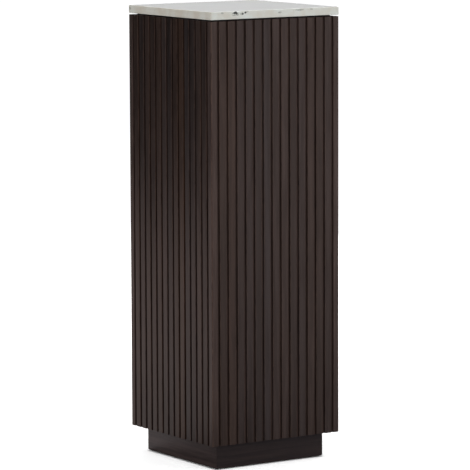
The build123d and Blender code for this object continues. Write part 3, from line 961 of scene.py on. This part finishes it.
OVERHEAD_HEIGHT = 3.4
FILL_OUT = 2.3
FILL_HEIGHT = 1.3
FILL_AIM_HEIGHT = 0.45
FILL_WATTS = {"front_left": 48, "front_right": 60, "back_right": 48, "back_left": 45}
CARD_DISTANCE = 0.9
LOW_CARD_HEIGHT = 0.21
TALL_CARD_HEIGHT = 0.59
CORNER_CARD_DISTANCE = 1.5
CORNER_CARD_HEIGHT = 0.55
FLAT_CARD_DISTANCE = 0.75
FLAT_CARD_HEIGHT = 0.004
FAR_CARD_OUT = 1.25
FAR_CARD_ACROSS = 0.75
FAR_CARD_HEIGHT = 0.42
FAR_CARD_AIM = 0.3
FAR_CARD_SIZE = (1.4, 0.8)
FAR_CARD_WATTS = 3.2
ROSE = (1, 0.87, 0.84)
PALE_ROSE = (1, 0.9, 0.86)

lamp("overhead", (0, 0, OVERHEAD_HEIGHT), (0, 0, 0), size=(3.0, 3.0), watts=90)
for label, angle in CORNER_TURNS.items():
    place = turned(angle, -FILL_OUT, -FILL_OUT, FILL_HEIGHT)
    aim = (0, 0, FILL_AIM_HEIGHT)
    lamp("fill_" + label, place, aim, size=(2.2, 2.2), watts=FILL_WATTS[label])

# The front face mirrors the camera's line this way, and the left face the other way.
mirrored = Vector((0.55, -0.83, 0))
left_face = Vector((cad_box[0].x, 0, 0))
front_face = Vector((0, cad_box[0].y, 0))
card = left_face - CARD_DISTANCE * mirrored + Vector((0, 0, LOW_CARD_HEIGHT))
lamp("low_card", card, card + mirrored, size=(1.5, 0.41), watts=1.48, lights=False, colour=ROSE)
card = front_face + CARD_DISTANCE * mirrored + Vector((0, 0, TALL_CARD_HEIGHT))
lamp("tall_card", card, card - mirrored, size=(1.4, 1.38), watts=5.5, lights=False)

# The rounded edge of the front left post mirrors it this way.
corner = Vector((cad_box[0].x, cad_box[0].y, 0))
aside = Vector((-0.83, -0.55, 0))
card = corner + CORNER_CARD_DISTANCE * aside + Vector((0, 0, CORNER_CARD_HEIGHT))
lamp(
    "corner_card", card, card - aside, size=(1.2, 1.5), watts=12.0, lights=False,
    colour=PALE_ROSE,
)

# Cards that lie low or stand behind, for the base and for the right and back faces.
card = left_face - FLAT_CARD_DISTANCE * mirrored + Vector((0, 0, FLAT_CARD_HEIGHT))
upwards = Vector((0, 0, 1))
lamp("flat_card_left", card, card + upwards, size=(1.0, 1.0), watts=1.9, lights=False)
lamp(
    "right_card", (FAR_CARD_OUT, FAR_CARD_ACROSS, FAR_CARD_HEIGHT),
    (0, FAR_CARD_AIM, FAR_CARD_HEIGHT), FAR_CARD_SIZE, FAR_CARD_WATTS, lights=False,
)
lamp(
    "back_card", (FAR_CARD_ACROSS, FAR_CARD_OUT, FAR_CARD_HEIGHT),
    (FAR_CARD_AIM, 0, FAR_CARD_HEIGHT), FAR_CARD_SIZE, FAR_CARD_WATTS, lights=False,
)

# Camera. It stands well back with a long lens, a little above the plinth, and looks at
# its front left corner.

CAMERA_DISTANCE = 6.9685
CAMERA_AZIMUTH = math.radians(33.38)
CAMERA_HEIGHT = 1.3264
CAMERA_PITCH = -0.1252
CAMERA_YAW = 0.0003
CAMERA_ROLL = -0.0038
SENSOR = 36.0
FOCAL_LENGTH = 265.35
CLIP_END = 200.0

heading = CAMERA_AZIMUTH + CAMERA_YAW
forward = Vector((
    math.sin(heading) * math.cos(CAMERA_PITCH),
    math.cos(heading) * math.cos(CAMERA_PITCH),
    math.sin(CAMERA_PITCH),
))
level_right = forward.cross(Vector((0, 0, 1))).normalized()
level_up = level_right.cross(forward)
right = level_right * math.cos(CAMERA_ROLL) + level_up * math.sin(CAMERA_ROLL)
up = level_up * math.cos(CAMERA_ROLL) - level_right * math.sin(CAMERA_ROLL)
lens = bpy.data.cameras.new("camera")
lens.sensor_width = SENSOR
lens.lens = FOCAL_LENGTH
lens.clip_end = CLIP_END
camera = bpy.data.objects.new("camera", lens)
camera.matrix_world = Matrix((right, up, -forward)).transposed().to_4x4()
camera.location = (
    -CAMERA_DISTANCE * math.sin(CAMERA_AZIMUTH),
    -CAMERA_DISTANCE * math.cos(CAMERA_AZIMUTH),
    CAMERA_HEIGHT,
)
bpy.context.scene.collection.objects.link(camera)
bpy.context.scene.camera = camera
bpy.context.scene.view_settings.view_transform = "Standard"
